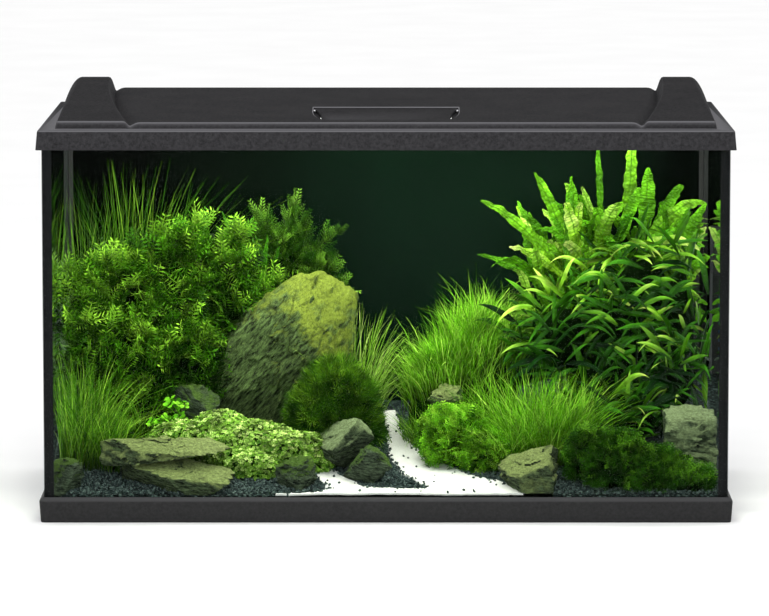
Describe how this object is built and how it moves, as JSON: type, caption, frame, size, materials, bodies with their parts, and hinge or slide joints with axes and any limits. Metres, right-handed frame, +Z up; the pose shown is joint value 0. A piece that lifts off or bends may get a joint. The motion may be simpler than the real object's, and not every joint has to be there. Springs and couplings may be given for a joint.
{
  "type": "planted aquarium with hood",
  "caption": "Rectangular glass tank in a plastic base frame, planted with rocks, sand and foliage, under a lift-off hood with feeding hatch, lamp, filter and heater.",
  "frame": {"origin": "under the middle of the tank, on the surface the base frame stands on", "axes": "+X to the right seen from the front, +Y to the back, +Z up; the viewing pane faces -Y"},
  "size_m": [0.61, 0.32, 0.373],
  "materials": {
    "black_plastic": "fine-textured anthracite moulding",
    "satin_black_plastic": "satin black moulding",
    "white_plastic": "white moulding",
    "opal_plastic": "opal light cover",
    "clear_glass": "clear float glass",
    "silicone": "black silicone",
    "rubber": "black rubber",
    "dark_film": "black film with a green cast",
    "filter_foam": "blue open foam",
    "steel": "stainless steel",
    "gravel": "fine dark gravel",
    "white_sand": "fine white sand",
    "mossy_rock": "rough rock grown over with moss",
    "leaf_dark": "dark green moss",
    "leaf_mid": "green leaves",
    "leaf_bright": "light green leaves"
  },
  "bodies": {
    "tank": {"base_frame": "satin_black_plastic", "bottom_pane": "clear_glass", "front_pane": "clear_glass", "back_pane": "clear_glass", "left_pane": "clear_glass", "right_pane": "clear_glass", "seam_front_left": "silicone", "seam_front_right": "silicone", "seam_back_left": "silicone", "seam_back_right": "silicone", "seam_bottom": "silicone", "background_film": "dark_film", "gravel_bed": "gravel", "sand_path": "white_sand", "rock_main": "mossy_rock", "rock_slab": "mossy_rock", "rock_corner": "mossy_rock", "rock_behind_slab": "mossy_rock", "rock_front_small": "mossy_rock", "rock_leaning": "mossy_rock", "rock_mossy": "mossy_rock", "rock_right_front": "mossy_rock", "rock_right_block": "mossy_rock", "tall_grass_left": "leaf_mid", "moss_bush_left": "leaf_dark", "moss_bush_back": "leaf_dark", "short_grass_left": "leaf_mid", "carpet_plant": "leaf_bright", "needle_moss": "leaf_dark", "grass_tuft_centre": "leaf_bright", "grass_slope_right": "leaf_mid", "moss_mound_slope": "leaf_dark", "grass_front_right": "leaf_mid", "leafy_bush_right": "leaf_mid", "fern_right": "leaf_bright", "moss_mound_front": "leaf_dark", "heater_tube": "clear_glass", "heater_holder": "rubber", "filter_bracket": "satin_black_plastic", "filter_suction_cup": "rubber"},
    "hood": {"hood_shell": "black_plastic", "hatch_pin_left": "steel", "hatch_pin_right": "steel", "light_housing": "white_plastic", "light_board": "white_plastic", "light_lens": "opal_plastic", "light_end_cap_left": "satin_black_plastic", "light_end_cap_right": "satin_black_plastic", "light_cable_gland": "rubber", "light_bracket_left": "white_plastic", "light_bracket_right": "white_plastic", "light_screw_left": "steel", "light_screw_right": "steel"},
    "hatch": {"feeding_hatch": "black_plastic"},
    "filter": {"filter_canister": "satin_black_plastic", "filter_sponge": "filter_foam", "filter_head": "black_plastic"},
    "impeller": {"filter_impeller": "white_plastic"},
    "nozzle": {"filter_nozzle": "black_plastic"},
    "dial": {"heater_dial": "black_plastic"}
  },
  "joints": [
    {"name": "hood_lift", "type": "slide", "parent": "tank", "child": "hood", "axis": [0, 0, 1], "range_m": [0, 0.15]},
    {"name": "hatch_hinge", "type": "hinge", "parent": "hood", "child": "hatch", "pos_m": [0, -0.04402, 0.35265], "axis": [-1, 0, 0], "range_deg": [0, 95]},
    {"name": "filter_lift", "type": "slide", "parent": "tank", "child": "filter", "axis": [0, 0, 1], "range_m": [0, 0.06]},
    {"name": "impeller_spin", "type": "hinge", "parent": "filter", "child": "impeller", "pos_m": [0.271, 0.123, 0.2], "axis": [0, 0, 1], "continuous": true},
    {"name": "nozzle_swivel", "type": "hinge", "parent": "filter", "child": "nozzle", "pos_m": [0.271, 0.123, 0.232], "axis": [0, 0, 1], "range_deg": [-75, 75]},
    {"name": "heater_dial_turn", "type": "hinge", "parent": "tank", "child": "dial", "pos_m": [-0.168, 0.136, 0.216], "axis": [0, 0, 1], "range_deg": [0, 270]}
  ]
}
